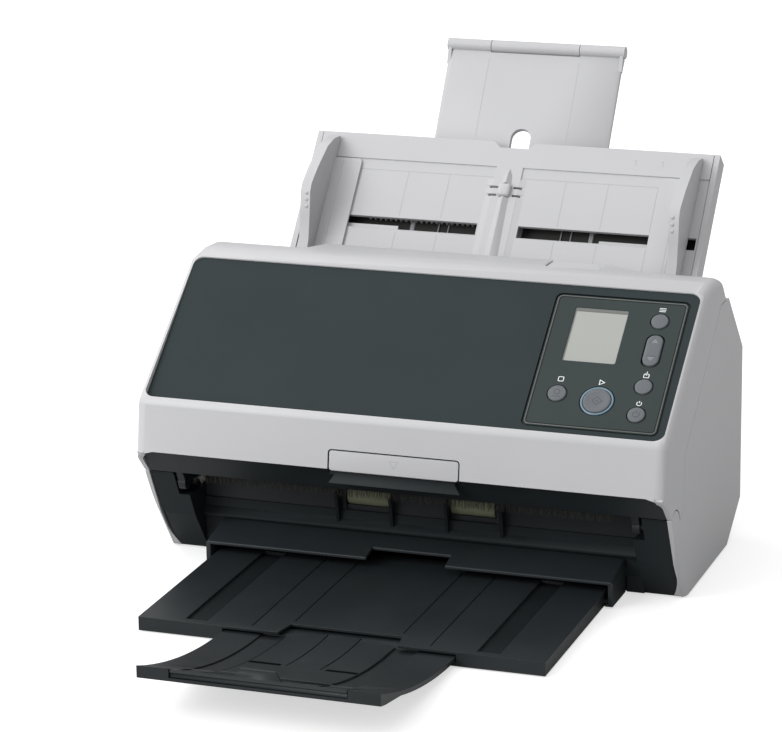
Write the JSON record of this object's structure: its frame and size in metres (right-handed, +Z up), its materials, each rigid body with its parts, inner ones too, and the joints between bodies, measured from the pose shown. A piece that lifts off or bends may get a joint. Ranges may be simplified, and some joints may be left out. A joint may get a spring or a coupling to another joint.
{
  "type": "sheet fed document scanner",
  "caption": "Desktop sheet fed document scanner with a tilting feeder cover and key panel, a sloped paper chute with side guides and extensions, and a pull-out front stacker.",
  "frame": {"origin": "on the table plane under the middle of the whole object, trays and chute extension out", "axes": "+Z up, +X to the right as seen from the front, +Y to the back; the stacker reaches towards -Y"},
  "size_m": [0.3, 0.4662, 0.2564],
  "materials": {
    "shell_plastic": "fine moulded grain, off white",
    "panel_plastic": "fine moulded grain, dark green grey",
    "dark_plastic": "moulded, charcoal",
    "key_plastic": "smooth moulded, mid grey",
    "screen_window": "clear window over a grey display, unlit",
    "light_ring": "frosted light guide, unlit",
    "steel": "bright drawn steel",
    "roller_rubber": "pale yellow green rubber",
    "dark_rubber": "dark grey rubber",
    "board": "green circuit board",
    "scan_glass": "clear flat glass",
    "motor_metal": "dark coated motor case",
    "gear_plastic": "natural bearing plastic",
    "bristle": "conductive bristles"
  },
  "bodies": {
    "base": {"bottom_plate": "dark_plastic", "rubber_feet": "dark_rubber", "left_side_cover": "shell_plastic", "right_side_cover": "shell_plastic", "rear_cover": "shell_plastic", "exit_bezel": "dark_plastic", "stacker_hood": "dark_plastic", "left_frame": "steel", "right_frame": "steel", "hinge_pins": "steel", "case_screws": "steel", "lower_guide": "dark_plastic", "lower_glass": "scan_glass", "lower_sensor": "dark_plastic", "shaft_bushes": "gear_plastic", "drive_motor": "motor_metal", "drive_belt": "dark_rubber", "main_board": "board", "power_inlet": "dark_plastic", "data_sockets": "steel", "chute_plate": "shell_plastic", "chute_back": "shell_plastic", "chute_clip": "shell_plastic"},
    "pick_drive": {"pick_shaft": "steel", "pick_rollers": "dark_rubber"},
    "feed_drive": {"feed_shaft": "steel", "feed_rollers": "dark_rubber"},
    "exit_drive": {"exit_shaft": "steel", "exit_rollers": "roller_rubber"},
    "motor_spindle": {"motor_pulley": "gear_plastic"},
    "guide_left": {"left_guide": "shell_plastic"},
    "guide_right": {"right_guide": "shell_plastic"},
    "guide_gear": {"guide_pinion": "gear_plastic"},
    "extension": {"chute_extension": "shell_plastic"},
    "extension_top": {"chute_extension_2": "shell_plastic"},
    "feeder": {"feeder_cover": "shell_plastic", "front_panel": "panel_plastic", "operator_panel": "panel_plastic", "screen_window": "screen_window", "panel_board": "board", "scan_ring": "light_ring", "upper_guide": "dark_plastic", "upper_glass": "scan_glass", "upper_sensor": "dark_plastic", "static_brush": "bristle"},
    "brake": {"brake_roller": "dark_rubber"},
    "feed_pinch": {"feed_idlers": "gear_plastic"},
    "exit_pinch": {"exit_idlers": "gear_plastic"},
    "menu_key": {"menu_button": "key_plastic"},
    "rocker_key": {"rocker_button": "key_plastic"},
    "manual_feed_key": {"manual_feed_button": "key_plastic"},
    "power_key": {"power_button": "key_plastic"},
    "stop_key": {"stop_button": "key_plastic"},
    "scan_key": {"scan_button": "key_plastic"},
    "release": {"release_tab": "shell_plastic"},
    "flap": {"exit_flap": "shell_plastic", "flap_lip": "dark_plastic"},
    "stacker": {"stacker_tray": "dark_plastic"},
    "stacker_out": {"stacker_extension": "dark_plastic"},
    "stop_plate": {"paper_stop": "dark_plastic"}
  },
  "joints": [
    {"name": "feeder_hinge", "type": "hinge", "parent": "base", "child": "feeder", "pos_m": [0, -0.01264, 0.0475], "axis": [1, 0, 0], "range_deg": [0, 70]},
    {"name": "release_lift", "type": "hinge", "parent": "feeder", "child": "release", "pos_m": [0.06525, 0.08406, 0.1576], "axis": [1, 0, 0], "range_deg": [0, 20], "stiffness_Nm_per_rad": 0.02},
    {"name": "flap_swing", "type": "hinge", "parent": "feeder", "child": "flap", "pos_m": [0, -0.03091, 0.07904], "axis": [-1, 0, 0], "range_deg": [0, 25]},
    {"name": "menu_press", "type": "slide", "parent": "feeder", "child": "menu_key", "axis": [0, 0.6206, -0.7842], "range_m": [0, 0.001], "stiffness_N_per_m": 300},
    {"name": "manual_feed_press", "type": "slide", "parent": "feeder", "child": "manual_feed_key", "axis": [0, 0.6206, -0.7842], "range_m": [0, 0.001], "stiffness_N_per_m": 300},
    {"name": "power_press", "type": "slide", "parent": "feeder", "child": "power_key", "axis": [0, 0.6206, -0.7842], "range_m": [0, 0.001], "stiffness_N_per_m": 300},
    {"name": "stop_press", "type": "slide", "parent": "feeder", "child": "stop_key", "axis": [0, 0.6206, -0.7842], "range_m": [0, 0.001], "stiffness_N_per_m": 300},
    {"name": "scan_press", "type": "slide", "parent": "feeder", "child": "scan_key", "axis": [0, 0.6206, -0.7842], "range_m": [0, 0.001], "stiffness_N_per_m": 300},
    {"name": "rocker_tilt", "type": "hinge", "parent": "feeder", "child": "rocker_key", "pos_m": [0.1277, 0.0241, 0.13163], "axis": [1, 0, 0], "range_deg": [-4, 4], "stiffness_Nm_per_rad": 0.02},
    {"name": "brake_spin", "type": "hinge", "parent": "feeder", "child": "brake", "pos_m": [0, 0.08365, 0.10761], "axis": [1, 0, 0], "continuous": true},
    {"name": "feed_pinch_spin", "type": "hinge", "parent": "feeder", "child": "feed_pinch", "pos_m": [0, 0.0589, 0.08551], "axis": [1, 0, 0], "continuous": true},
    {"name": "exit_pinch_spin", "type": "hinge", "parent": "feeder", "child": "exit_pinch", "pos_m": [0, 0.01018, 0.05049], "axis": [1, 0, 0], "continuous": true},
    {"name": "pick_spin", "type": "hinge", "parent": "base", "child": "pick_drive", "pos_m": [0, 0.0955, 0.09113], "axis": [1, 0, 0], "continuous": true},
    {"name": "feed_spin", "type": "hinge", "parent": "base", "child": "feed_drive", "pos_m": [0, 0.06637, 0.07512], "axis": [1, 0, 0], "continuous": true},
    {"name": "exit_spin", "type": "hinge", "parent": "base", "child": "exit_drive", "pos_m": [0, 0.01736, 0.0405], "axis": [1, 0, 0], "continuous": true},
    {"name": "motor_spin", "type": "hinge", "parent": "base", "child": "motor_spindle", "pos_m": [-0.134, 0.06486, 0.034], "axis": [1, 0, 0], "continuous": true},
    {"name": "guide_left_slide", "type": "slide", "parent": "base", "child": "guide_left", "axis": [1, 0, 0], "range_m": [0, 0.07]},
    {"name": "guide_right_slide", "type": "slide", "parent": "base", "child": "guide_right", "axis": [-1, 0, 0], "range_m": [0, 0.07]},
    {"name": "guide_gear_spin", "type": "hinge", "parent": "base", "child": "guide_gear", "pos_m": [0, 0.15529, 0.15659], "axis": [0, -0.7547, 0.6561], "range_deg": [-690, 15]},
    {"name": "extension_slide", "type": "slide", "parent": "base", "child": "extension", "axis": [0, -0.5592, -0.829], "range_m": [0, 0.05]},
    {"name": "extension_top_slide", "type": "slide", "parent": "extension", "child": "extension_top", "axis": [0, 0.5592, 0.829], "range_m": [0, 0.045]},
    {"name": "stacker_slide", "type": "slide", "parent": "base", "child": "stacker", "axis": [0, 1, 0], "range_m": [0, 0.095]},
    {"name": "stacker_out_slide", "type": "slide", "parent": "stacker", "child": "stacker_out", "axis": [0, 1, 0], "range_m": [0, 0.018]},
    {"name": "stop_flip", "type": "hinge", "parent": "stacker_out", "child": "stop_plate", "pos_m": [0, -0.21243, 0.01971], "axis": [-1, 0, 0], "range_deg": [0, 80]}
  ],
  "couplings": [
    {"joint": "feed_spin", "follows": "pick_spin", "ratio": 1},
    {"joint": "exit_spin", "follows": "pick_spin", "ratio": 1},
    {"joint": "motor_spin", "follows": "pick_spin", "ratio": 1.6},
    {"joint": "guide_right_slide", "follows": "guide_left_slide", "ratio": 1},
    {"joint": "guide_gear_spin", "follows": "guide_left_slide", "rad_per_m": -166.67}
  ]
}
